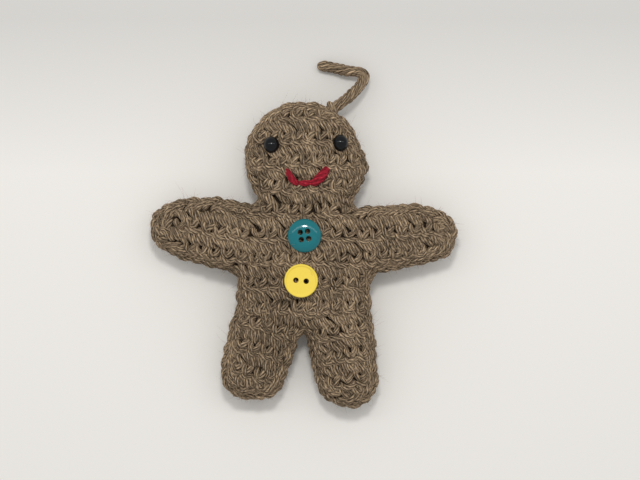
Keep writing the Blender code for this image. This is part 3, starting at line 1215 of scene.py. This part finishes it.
@dataclass
class Fuzz:
    """Loose fibres that stand off the yarn."""

    count: int = 10800
    shortest: float = 0.0006
    common: float = 0.0019  # what most fibres add to the shortest
    longest: float = 0.0034  # what the few longest add
    root_radius: float = 0.000048
    rings: int = 3
    patches: int = 8

    def build(self, strands: Sequence[Strands], wool: bpy.types.Material) -> None:
        """Grows fibres from random places on the strands.

        Args:
            strands: the yarn they grow on.
            wool: the yarn's material.
        """
        rng = np.random.default_rng(SEED + 100)
        sizes = np.array([one.count() * one.paths.shape[1] for one in strands], dtype=float)
        shares = rng.multinomial(self.count, sizes / sizes.sum())
        roots, outs, alongs = [], [], []
        for one, share in zip(strands, shares):
            which = rng.integers(0, one.count(), share)
            ring = rng.integers(2, one.paths.shape[1] - 2, share)
            along = unit(one.paths[which, ring + 1] - one.paths[which, ring - 1])
            out = one.facing[which] + rng.normal(0.0, 0.75, (share, 3))
            out = unit(out - (out * along).sum(axis=1, keepdims=True) * along)
            roots.append(one.paths[which, ring] + out * one.radii[which, ring][:, None] * 0.8)
            outs.append(out)
            alongs.append(along)
        root, out, along = (np.concatenate(part) for part in (roots, outs, alongs))
        way = unit(out * 0.8 + along * rng.normal(0.0, 0.8, (len(root), 1))
                   + rng.normal(0.0, 0.35, out.shape))
        bend = rng.normal(0.0, 0.45, out.shape) - out * 0.25
        chance = rng.random(len(root))
        reach = self.shortest + self.common * chance ** 1.5 + self.longest * chance ** 14
        self._make(root, way, bend, reach, rng, wool)

    def _make(self, root: Array, way: Array, bend: Array, reach: Array,
              rng: np.random.Generator, wool: bpy.types.Material) -> None:
        """Makes the fibres as thin closed three-sided tapers.

        Args:
            root: where each fibre starts.
            way: the way it sets off.
            bend: how it turns away from that.
            reach: its length.
            rng: picks each fibre's patch of the map.
            wool: the fibres' finish.
        """
        t = np.linspace(0.0, 1.0, self.rings)[None, :, None]
        paths = root[:, None] + (way[:, None] * t + bend[:, None] * t ** 2) * reach[:, None, None]
        along = unit(np.gradient(paths, axis=1))
        side = unit(np.cross(along, way[:, None] + np.array([0.31, 0.17, 0.93])))
        other = np.cross(along, side)
        angle = np.arange(3) / 3.0 * math.tau
        thick = (self.root_radius * (1.0 - 0.7 * t[..., 0]))[..., None, None]
        points = paths[:, :, None] + thick * (
            np.cos(angle)[:, None] * side[:, :, None] + np.sin(angle)[:, None] * other[:, :, None])
        points[..., 2] = np.maximum(points[..., 2], 0.00003)
        count = len(root)
        ring, k = np.meshgrid(np.arange(self.rings - 1), np.arange(3), indexing="ij")
        ring, k = ring.ravel(), k.ravel()
        after = (k + 1) % 3
        one = np.stack([ring * 3 + k, ring * 3 + after, ring * 3 + 3 + after, ring * 3 + 3 + k], 1)
        starts = np.arange(count)[:, None, None] * (self.rings * 3)
        last = (self.rings - 1) * 3
        caps = np.array([[2, 1, 0], [last, last + 1, last + 2]])
        quads = (one[None] + starts).reshape(-1, 4)
        caps = (caps[None] + starts).reshape(-1, 3)
        patch = rng.integers(0, self.patches, (count, 1, 1, 2))
        square = np.array([[0.46, 0.0], [0.54, 0.0], [0.54, 0.3], [0.46, 0.3]])
        lift = np.array([0.0, 0.1]) + rng.random((count, 1, 1, 1)) * np.array([0.0, 0.5])
        quad_uv = (square[None, None] + lift + patch) / self.patches
        quad_uv = np.broadcast_to(quad_uv, (count, len(one), 4, 2)).reshape(-1, 2)
        cap_uv = (square[None, None, :3] + lift + patch) / self.patches
        cap_uv = np.broadcast_to(cap_uv, (count, 2, 3, 2)).reshape(-1, 2)
        piece = mesh_object("wool_fuzz", points.reshape(-1, 3), [quads, caps],
                            np.concatenate([quad_uv, cap_uv]))
        finish_piece(piece, wool, "wool", "body")


@dataclass
class InnerShell:
    """The dense inside of the crochet over the stuffing, under the stitches; its near-black finish
    is painted shade in the gaps between them.
    """

    skin: Skin
    depth: float = 0.0026

    def build(self, material: bpy.types.Material) -> None:
        """Makes the shell as the skin drawn in by its depth.

        Args:
            material: its finish.
        """
        mesh = self.skin.mesh.copy()
        normals = np.empty(len(mesh.vertices) * 3, np.float32)
        places = np.empty_like(normals)
        mesh.vertices.foreach_get("normal", normals)
        mesh.vertices.foreach_get("co", places)
        places = places - normals * self.depth
        mesh.vertices.foreach_set("co", places)
        mesh.shade_smooth()
        piece = bpy.data.objects.new("stuffed_shell_shaded", mesh)
        bpy.context.scene.collection.objects.link(piece)
        finish_piece(piece, material, "wool", "body")


# ---- cord on the head ----------------------------------------------------------------------


@dataclass
class HeadCord:
    """A short length of yarn, doubled and twisted, that comes out of the head."""

    # The cord's route, in metres: out of the head, down to the surface and back over its tip.
    route: tuple = (
        (0.0106, 0.0606, 0.0124),
        (0.0134, 0.0624, 0.0123),
        (0.0163, 0.0644, 0.0119),
        (0.0192, 0.0667, 0.0110),
        (0.0220, 0.0694, 0.0098),
        (0.0243, 0.0722, 0.0084),
        (0.0254, 0.0749, 0.0072),
        (0.0243, 0.0770, 0.0062),
        (0.0212, 0.0775, 0.0052),
        (0.0174, 0.0780, 0.0043),
        (0.0138, 0.0789, 0.0035),
        (0.0102, 0.0796, 0.0029),
        (0.0066, 0.0801, 0.0026),
    )
    diameter: float = 0.0046
    elements: int = 4  # strands of the cord, which fold back in pairs at its tip
    element_radius: float = 0.00102
    lay_pitch: float = 0.0098
    knot_place: float = 0.035  # share of the cord's length at which it is tied
    knot_radius: float = 0.00115
    tip_length: float = 0.0022  # over which the strands close in to the tip
    points: int = 180

    def centre(self, count: int) -> Array:
        """Even points along the route.

        Args:
            count: how many points.

        Returns:
            point, xyz.
        """
        dense = smooth_paths(np.array(self.route)[None], 600)[0]
        steps = np.linalg.norm(np.diff(dense, axis=0), axis=1)
        lengths = np.concatenate([[0.0], np.cumsum(steps)])
        where = np.linspace(0.0, lengths[-1], count)
        return np.stack([np.interp(where, lengths, dense[:, i]) for i in range(3)], axis=1)

    def build(self, wool: bpy.types.Material) -> None:
        """Twists the plies, which fold into each other at the tip.

        Args:
            wool: the yarn's finish.
        """
        centre = self.centre(self.points)
        length = float(np.linalg.norm(np.diff(centre, axis=0), axis=1).sum())
        along = unit(np.gradient(centre, axis=0))[None]
        side = Spinner._carried(along, np.array([[0.0, 0.0, 1.0]]))[0]
        other = np.cross(along[0], side)
        s = np.linspace(0.0, length, self.points)
        away = (self.diameter / 2.0 - self.element_radius) * (1.1 + 0.07 * np.sin(s * 640.0))
        near = np.clip((length - s) / self.tip_length, 0.0, 1.0)
        close = np.sqrt(1.0 - (1.0 - near) ** 2)
        runs = []
        for i in range(self.elements):
            angle = i / self.elements * math.tau - s / self.lay_pitch * math.tau
            out = np.cos(angle)[:, None] * side + np.sin(angle)[:, None] * other
            runs.append(centre + out * (away * close)[:, None])
        paths = []
        tip = centre[-1:] + along[0, -1:] * 0.0002
        for there, back in zip(runs[: self.elements // 2], runs[self.elements // 2:]):
            whole = np.concatenate([there[:-1], tip, back[:-1][::-1]])[None]
            paths.append(smooth_paths(whole, 300)[0])
        path = np.array(paths)
        rng = np.random.default_rng(SEED + 5)
        radii = np.full(path.shape[:2], self.element_radius)
        radii *= 1.0 + 0.07 * np.sin(np.linspace(0.0, 40.0, path.shape[1])
                                    + rng.random((len(path), 1)) * 9.0)
        radii[:, [0, -1]] *= 0.5
        spinner = Spinner(plies=4, per_ply=4, pitch=0.0125, hollow=0.6, seed=SEED + 3)
        spun = spinner.spin(Strands(path, radii, np.tile([[0.0, 0.0, 1.0]], (len(path), 1))))
        piece = mesh_object("twisted_cord", *join_spun([spun]))
        finish_piece(piece, wool, "wool", "head_cord")
        LOG.info("cord: %.1f mm long", length * 1000.0)
        self._knot(centre, along[0], side, other, wool)

    def _knot(self, centre: Array, along: Array, side: Array, other: Array,
              wool: bpy.types.Material) -> None:
        """Ties a loop of yarn round the foot of the cord.

        Args:
            centre: the cord's middle line.
            along: the way it runs.
            side: a direction square to it.
            other: the direction square to both.
            wool: the yarn's finish.
        """
        foot = int(self.points * self.knot_place)
        turn = np.linspace(-0.4, 2.4 * math.pi, 15)
        reach = self.diameter / 2.0 + 0.0002
        knots = centre[foot] + reach * (
            np.cos(turn)[:, None] * side[foot] + np.sin(turn)[:, None] * other[foot])
        knots = knots + along[foot] * (np.linspace(-0.0007, 0.0009, 15))[:, None]
        knots[[0, -1]] -= (knots[[0, -1]] - centre[foot]) * 0.5
        path = smooth_paths(knots[None], 34)
        radii = np.full(path.shape[:2], self.knot_radius)
        spinner = Spinner(seed=SEED + 4)
        spun = spinner.spin(Strands(path, radii, unit(knots[:1] - centre[foot])))
        finish_piece(mesh_object("cord_knot", *join_spun([spun])), wool, "wool", "body")


# ---- eyes, mouth and buttons ---------------------------------------------------------------


@dataclass
class BeadEyes:
    """Two polished beads."""

    nodes: tuple = ("eye_left", "eye_right")
    fullness: float = 1.04  # size over that of the plain solid

    def build(self, material: bpy.types.Material) -> None:
        """Makes a finer bead in each one's place.

        Args:
            material: its finish.
        """
        for node in self.nodes:
            low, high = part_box(node)
            middle, half = (low + high) / 2.0, (high - low) / 2.0 * self.fullness
            bm = bmesh.new()
            bmesh.ops.create_uvsphere(
                bm, u_segments=64, v_segments=40, radius=1.0,
                matrix=Matrix.LocRotScale(middle, None, half),
            )
            mesh = bpy.data.meshes.new(f"bead_{node}")
            bm.to_mesh(mesh)
            bm.free()
            mesh.shade_smooth()
            piece = bpy.data.objects.new(f"bead_{node}", mesh)
            bpy.context.scene.collection.objects.link(piece)
            finish_piece(piece, material, "black", node)


@dataclass
class Mouth:
    """A smile of three stitches of red yarn."""

    skin: Skin
    # Each stitch: the start and end of its line on the face, in metres, its thickness and bow.
    stitches: dict = field(default_factory=lambda: {
        "mouth_left": ((-0.0070, 0.0359), (-0.0021, 0.0299), 0.0031, 0.0013),
        "mouth_middle": ((-0.0023, 0.0302), (0.0038, 0.0305), 0.0027, 0.0002),
        "mouth_right": ((0.0036, 0.0297), (0.0101, 0.0366), 0.0042, 0.0006),
    })
    dip: float = 0.0022

    def build(self, material: bpy.types.Material) -> None:
        """Lays the stitches over the crochet of the face.

        Args:
            material: its finish.
        """
        for node, (start, end, thick, bow) in self.stitches.items():
            t = np.linspace(0.0, 1.0, 9)
            swell = np.sin(np.pi * t)
            plan = np.outer(1 - t, start) + np.outer(t, end)
            plan[:, 1] -= bow * swell
            place, normal = self.skin.over_plan(plan, Side.FRONT)
            lift = thick * 0.28 - self.dip * (1.0 - swell ** 0.45)
            knots = (place + normal * lift[:, None])[None]
            path = smooth_paths(knots, 26)
            along = np.linspace(0.0, 1.0, 26)
            radii = (thick / 2.0 * (0.5 + 0.5 * np.sin(np.pi * along) ** 0.7))[None]
            spinner = Spinner(pitch=0.019, plies=7, hollow=1.6, flatten=0.8, seed=SEED + len(node))
            spun = spinner.spin(Strands(path, radii, normal[4:5]))
            piece = mesh_object(f"yarn_{node}", *join_spun([spun]))
            finish_piece(piece, material, "red", node)


def turned(profile: Sequence[tuple], sides: int) -> bmesh.types.BMesh:
    """Turns a profile of (radius, height) in millimetres, top to bottom, round Z.

    Args:
        profile: the line to turn.
        sides: how many steps a whole turn has.

    Returns:
        The turned shape.
    """
    bm = bmesh.new()
    line = [bm.verts.new(Vector((r, 0.0, z)) * MM) for r, z in profile]
    edges = [bm.edges.new(pair) for pair in zip(line, line[1:])]
    bmesh.ops.spin(bm, geom=line + edges, cent=(0.0, 0.0, 0.0), axis=(0.0, 0.0, 1.0),
                   angle=math.tau, steps=sides, use_merge=True)
    bmesh.ops.remove_doubles(bm, verts=bm.verts, dist=0.000001)
    bmesh.ops.recalc_face_normals(bm, faces=bm.faces)
    return bm


def rounded_line(knots: Sequence[tuple], steps: int) -> list[tuple]:
    """A smooth line through knots of (radius, height).

    Args:
        knots: the points it runs through.
        steps: how many points to return.

    Returns:
        The points of the line.
    """
    flat = np.array([(r, z, 0.0) for r, z in knots])[None]
    fine = smooth_paths(flat, steps)[0]
    fine[:, 0] = np.maximum(fine[:, 0], 0.0)
    fine[0, 0] = fine[-1, 0] = 0.0
    return [(float(r), float(z)) for r, z, _ in fine]


@dataclass
class Button:
    """A moulded button with round-edged holes, on the seat of its CAD node."""

    node: str
    slot: str
    profile: tuple  # (radius, height) in millimetres, from the middle of the top
    holes: tuple  # places of the holes
    hole_radius: float
    face: float  # height of the face round the holes
    turn: float
    sides: int = 96

    def seat(self) -> Matrix:
        """Where the button's back lies, from its CAD solid's flat back.

        Returns:
            The button's place and lean.
        """
        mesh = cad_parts[self.node].data
        sizes: dict = {}
        for face in mesh.polygons:
            key = tuple(round(c, 3) for c in face.normal)
            sizes[key] = sizes.get(key, 0.0) + face.area
        down = Vector((0.0, 0.0, 0.0))
        for key, area in sizes.items():
            if key[2] < -0.5:
                down += Vector(key) * area ** 3
        facing = -down.normalized()
        places = [v.co.copy() for v in mesh.vertices]
        base = min(p.dot(facing) for p in places)
        low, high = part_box(self.node)
        middle = (low + high) / 2.0
        middle += facing * (base - middle.dot(facing))
        up = Vector((0.0, 0.0, 1.0))
        LOG.info("%s leans %.1f degrees", self.node, math.degrees(facing.angle(up)))
        turn = up.rotation_difference(facing).to_matrix().to_4x4()
        return Matrix.Translation(middle) @ turn @ Matrix.Rotation(self.turn, 4, "Z")

    def drill(self) -> list[tuple]:
        """The profile of a drill that rounds the hole's edge.

        Returns:
            Points of (radius, height) in millimetres, from the top.
        """
        r, lip = self.hole_radius, 0.28
        curve = [(r + lip * (1 - math.sin(a)), self.face + lip * 0.02 - lip * (1 - math.cos(a)))
                 for a in np.linspace(0.0, math.pi / 2.0, 7)]
        return [(0.0, self.face + 2.0), (r + lip, self.face + 2.0), *curve, (r, -2.0), (0.0, -2.0)]

    def build(self, material: bpy.types.Material) -> None:
        """Turns, drills and places the button.

        Args:
            material: its finish.
        """
        bm = turned(rounded_line(self.profile, 64), self.sides)
        mesh = bpy.data.meshes.new(f"moulded_{self.node}")
        bm.to_mesh(mesh)
        bm.free()
        for x, y in self.holes:
            cutter = self._cutter(x, y)
            mesh = with_modifiers(mesh, ("BOOLEAN", {"operation": "DIFFERENCE", "solver": "EXACT",
                                                      "object": cutter}))
            bpy.data.objects.remove(cutter)
        mesh.transform(self.seat())
        mesh.shade_smooth()
        mesh.set_sharp_from_angle(angle=math.radians(42.0))
        mesh.name = f"moulded_{self.node}"
        piece = bpy.data.objects.new(f"moulded_{self.node}", mesh)
        bpy.context.scene.collection.objects.link(piece)
        finish_piece(piece, material, self.slot, self.node)

    def _cutter(self, x: float, y: float) -> bpy.types.Object:
        """A hidden object that drills one hole.

        Args:
            x: its place across the button, in millimetres.
            y: its place up the button, in millimetres.

        Returns:
            The drill.
        """
        bm = turned(self.drill(), 40)
        mesh = bpy.data.meshes.new("drill")
        bm.to_mesh(mesh)
        bm.free()
        mesh.transform(Matrix.Translation(Vector((x, y, 0.0)) * MM) @ Matrix.Rotation(0.03, 4, "Z"))
        cutter = bpy.data.objects.new("drill", mesh)
        bpy.context.scene.collection.objects.link(cutter)
        return cutter


BUTTONS = (
    (Button("button_top", "teal",
            ((0.0, 2.9), (1.3, 2.9), (2.6, 2.9), (3.4, 2.865), (4.27, 2.743), (5.0, 2.541),
             (5.8, 2.168), (6.4, 1.748), (6.8, 1.32), (7.0, 0.95), (6.85, 0.45), (6.2, 0.15),
             (4.8, 0.0), (2.4, 0.0), (0.0, 0.0)),
            ((-1.55, -1.55), (-1.55, 1.55), (1.55, -1.55), (1.55, 1.55)), 1.08, 2.9,
            math.radians(8.0)), TEAL),
    (Button("button_bottom", "yellow",
            ((0.0, 1.8), (2.0, 1.8), (4.0, 1.8), (5.6, 1.8), (5.95, 1.86), (6.25, 2.08),
             (6.55, 2.17), (6.85, 1.98), (6.98, 1.6), (6.92, 0.8), (6.5, 0.3), (5.6, 0.02),
             (3.0, 0.0), (0.0, 0.0)),
            ((-2.15, 0.0), (2.15, 0.0)), 1.12, 1.8, math.radians(-5.5)), YELLOW),
)


# ---- studio --------------------------------------------------------------------------------


@dataclass
class Studio:
    """A camera that looks down on the doll, soft lamps and a pale floor."""

    lens: float = 200.0
    sensor: float = 36.0
    view_width: float = 0.2688
    aim: tuple = (0.00687, 0.0064)
    level: float = 0.013
    lamp_angle: float = 22.0
    lamp_distance: float = 0.8
    lamp_size: tuple = (1.7, 0.11)
    lamp_power: float = 1.5
    spot_size: float = 0.13
    spot_power: float = 1.65
    world: tuple = (0.97, 0.985, 1.0)
    world_strength: float = 0.61
    backdrop: tuple = (0.79, 0.77, 0.74)
    floor_reach: float = 2.0

    def camera(self) -> None:
        """Adds the camera."""
        data = bpy.data.cameras.new("camera")
        data.lens = self.lens
        data.sensor_width = self.sensor
        data.clip_start = 0.01
        thing = bpy.data.objects.new("camera", data)
        distance = self.view_width * self.lens / self.sensor
        thing.location = (*self.aim, self.level + distance)
        bpy.context.scene.collection.objects.link(thing)
        bpy.context.scene.camera = thing

    def lights(self) -> None:
        """Adds a long soft lamp beyond the head, and an even world."""
        self._lamp("strip", "RECTANGLE", self.lamp_size, self.lamp_power, self.lamp_distance)
        spot = (self.spot_size, self.spot_size)
        self._lamp("key", "ELLIPSE", spot, self.spot_power, self.lamp_distance * 0.98)
        world = bpy.data.worlds.new("room")
        world.use_nodes = True
        nodes, links = world.node_tree.nodes, world.node_tree.links
        room = nodes["Background"]
        room.inputs["Color"].default_value = (*self.world, 1.0)
        room.inputs["Strength"].default_value = self.world_strength
        seen = nodes.new("ShaderNodeBackground")
        seen.inputs["Color"].default_value = (*self.backdrop, 1.0)
        path, mix = nodes.new("ShaderNodeLightPath"), nodes.new("ShaderNodeMixShader")
        links.new(path.outputs["Is Camera Ray"], mix.inputs[0])
        links.new(room.outputs[0], mix.inputs[1])
        links.new(seen.outputs[0], mix.inputs[2])
        links.new(mix.outputs[0], nodes["World Output"].inputs[0])
        bpy.context.scene.world = world
        bpy.context.scene.view_settings.view_transform = "Standard"

    def _lamp(self, name: str, shape: str, size: tuple, power: float, distance: float) -> None:
        """Adds a lamp that looks at the doll from beyond its head.

        Args:
            name: the lamp's name.
            shape: its shape.
            size: its two sizes.
            power: its power.
            distance: how far off it stands.
        """
        data = bpy.data.lights.new(name, "AREA")
        data.shape = shape
        data.size, data.size_y = size
        data.energy = power
        thing = bpy.data.objects.new(name, data)
        angle = math.radians(self.lamp_angle)
        thing.location = (0.0, distance * math.sin(angle), distance * math.cos(angle))
        thing.rotation_euler = (-angle, 0.0, 0.0)
        bpy.context.scene.collection.objects.link(thing)

    def floor(self, material: bpy.types.Material) -> None:
        """Adds the floor.

        Args:
            material: its finish.
        """
        bm = bmesh.new()
        bmesh.ops.create_grid(bm, x_segments=1, y_segments=1, size=self.floor_reach)
        mesh = bpy.data.meshes.new("floor")
        bm.to_mesh(mesh)
        bm.free()
        mesh.materials.append(material)
        thing = bpy.data.objects.new("floor", mesh)
        bpy.context.scene.collection.objects.link(thing)


def main() -> None:
    """Builds the studio and the doll, piece by piece."""
    studio = Studio()
    studio.camera()
    wool = WOOL.make()
    HeadCord().build(wool)
    studio.lights()
    studio.floor(CARD.make())
    skin = Skin()
    LOG.info("skin: %d points round the edge", len(skin.outline))
    InnerShell(skin).build(SHADE_SHELL.make())
    crochet = Crochet(skin)
    crochet.build(wool)
    Fuzz().build(crochet.strands, FIBRE.make())
    BeadEyes().build(BLACK.make())
    Mouth(skin).build(RED_YARN.make())
    for button, finish in BUTTONS:
        button.build(finish.make())


if __name__ == "__main__":
    main()
